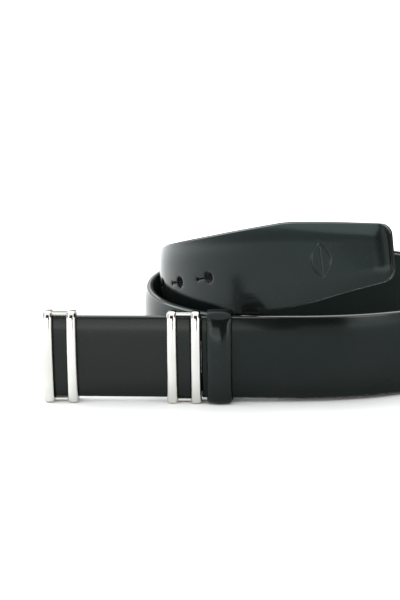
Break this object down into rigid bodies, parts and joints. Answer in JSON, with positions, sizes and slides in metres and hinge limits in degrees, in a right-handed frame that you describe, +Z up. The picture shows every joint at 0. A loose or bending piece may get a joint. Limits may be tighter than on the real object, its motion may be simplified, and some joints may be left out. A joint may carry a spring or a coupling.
{
  "type": "leather belt",
  "caption": "Rolled dress belt: padded glossy strap with keyholes near a tapered tip, plate buckle of leather held in polished bar frames, and a leather keeper.",
  "frame": {"origin": "on the table, under the middle of the part's bounding box", "axes": "+Z up out of the table, across the strap's width; +X along the straight buckle, from its free end towards the strap; +Y from the buckle's face to its back"},
  "size_m": [0.1912, 0.1854, 0.0821],
  "materials": {
    "leather_gloss": "high gloss",
    "leather_lining": "matt",
    "core": "raw board",
    "polished_metal": "mirror polish",
    "steel": "satin"
  },
  "bodies": {
    "strap": {"strap_face": "leather_gloss", "strap_filler": "core", "strap_lining": "leather_lining", "hinge_tongue": "steel", "tongue_rivets": "steel"},
    "keeper": {"keeper_face": "leather_gloss", "keeper_lining": "leather_lining", "keeper_staple": "steel"},
    "buckle": {"back_plate": "steel", "left_frame": "polished_metal", "right_frame": "polished_metal", "frame_rivets": "steel", "panel_face": "leather_gloss", "panel_filler": "core", "panel_lining": "leather_lining", "pivot_pin": "steel", "hook_stud": "polished_metal"}
  },
  "joints": [
    {"name": "buckle_hinge", "type": "hinge", "parent": "strap", "child": "buckle", "pos_m": [-0.03136, -0.05794, 0.0195], "axis": [0, 0, 1], "range_deg": [-30, 8]},
    {"name": "keeper_slide", "type": "slide", "parent": "strap", "child": "keeper", "axis": [1, 0, 0], "range_m": [0, 0.0025]}
  ]
}
